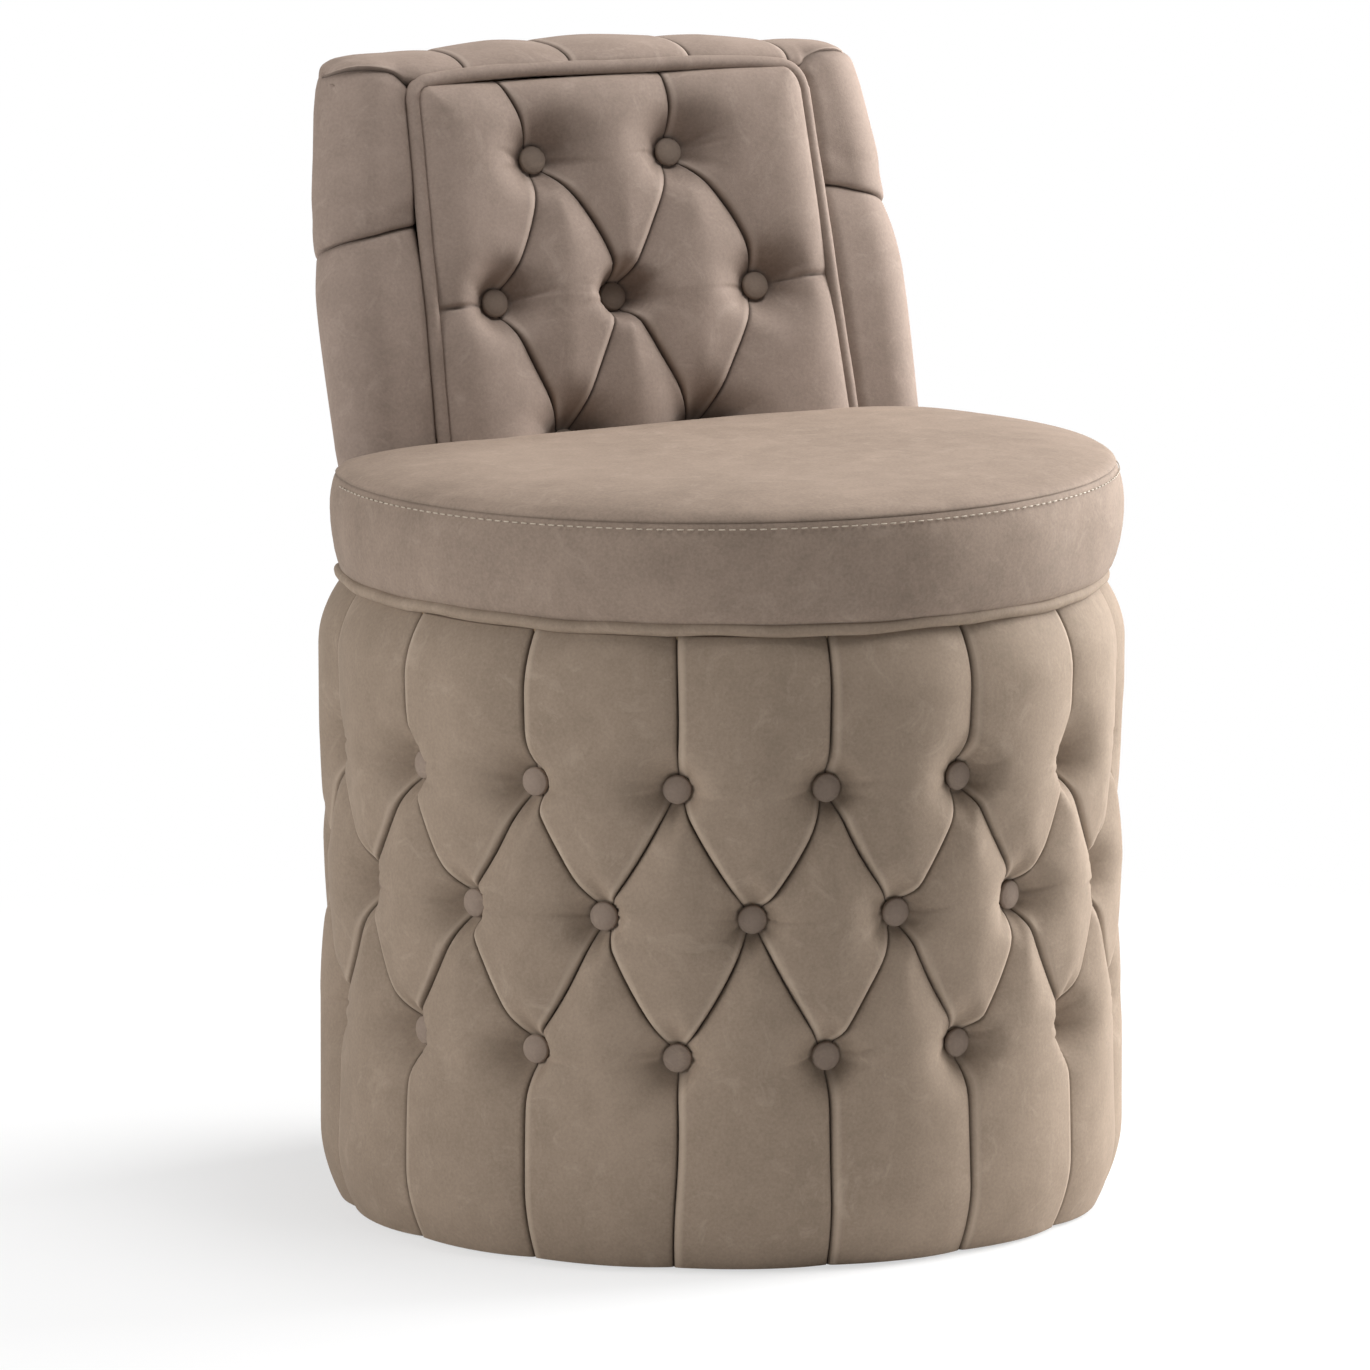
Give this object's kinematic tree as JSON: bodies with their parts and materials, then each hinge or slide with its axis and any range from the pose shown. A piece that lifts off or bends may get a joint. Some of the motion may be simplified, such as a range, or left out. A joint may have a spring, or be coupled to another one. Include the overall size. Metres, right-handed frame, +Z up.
{
  "type": "tufted pouf with backrest",
  "caption": "Round deep-buttoned drum pouf with a boxed crowned seat pad and a low leaning backrest with a welted tufted front panel.",
  "frame": {"origin": "centre of the drum's footprint on the floor", "axes": "+Z up along the drum's axis, -Y towards the front that the sitter faces, +X to the right seen from the front"},
  "size_m": [0.5, 0.5, 0.712],
  "materials": {
    "nubuck": "soft matt nubuck",
    "plywood": "bare birch plywood",
    "softwood": "planed pine",
    "hardboard": "smooth hardboard",
    "foam": "cut polyether foam",
    "twine": "waxed tufting twine",
    "black_cloth": "woven dust cloth",
    "steel": "zinc plated"
  },
  "bodies": {
    "root": {"drum_cover": "nubuck", "drum_buttons": "nubuck", "seat_cover": "nubuck", "seat_welt": "nubuck", "front_panel_cover": "nubuck", "front_panel_buttons": "nubuck", "front_panel_welt": "nubuck", "outside_back_cover": "nubuck", "outside_back_buttons": "nubuck", "base_ring": "plywood", "drum_deck": "plywood", "seat_board": "plywood", "back_side_frame_left": "plywood", "back_side_frame_right": "plywood", "back_front_board": "plywood", "drum_post_1": "softwood", "drum_post_2": "softwood", "drum_post_3": "softwood", "drum_post_4": "softwood", "drum_post_5": "softwood", "drum_post_6": "softwood", "back_top_rail": "softwood", "back_lower_rail": "softwood", "drum_sleeve": "hardboard", "back_rear_board": "hardboard", "drum_foam": "foam", "seat_foam": "foam", "front_panel_foam": "foam", "outside_back_foam": "foam", "drum_ties": "twine", "front_panel_ties": "twine", "dust_cover": "black_cloth", "floor_glides": "steel", "frame_screws": "steel", "seat_bolts": "steel", "seat_tee_nuts": "steel", "back_brackets": "steel", "back_bracket_screws": "steel"}
  },
  "joints": []
}
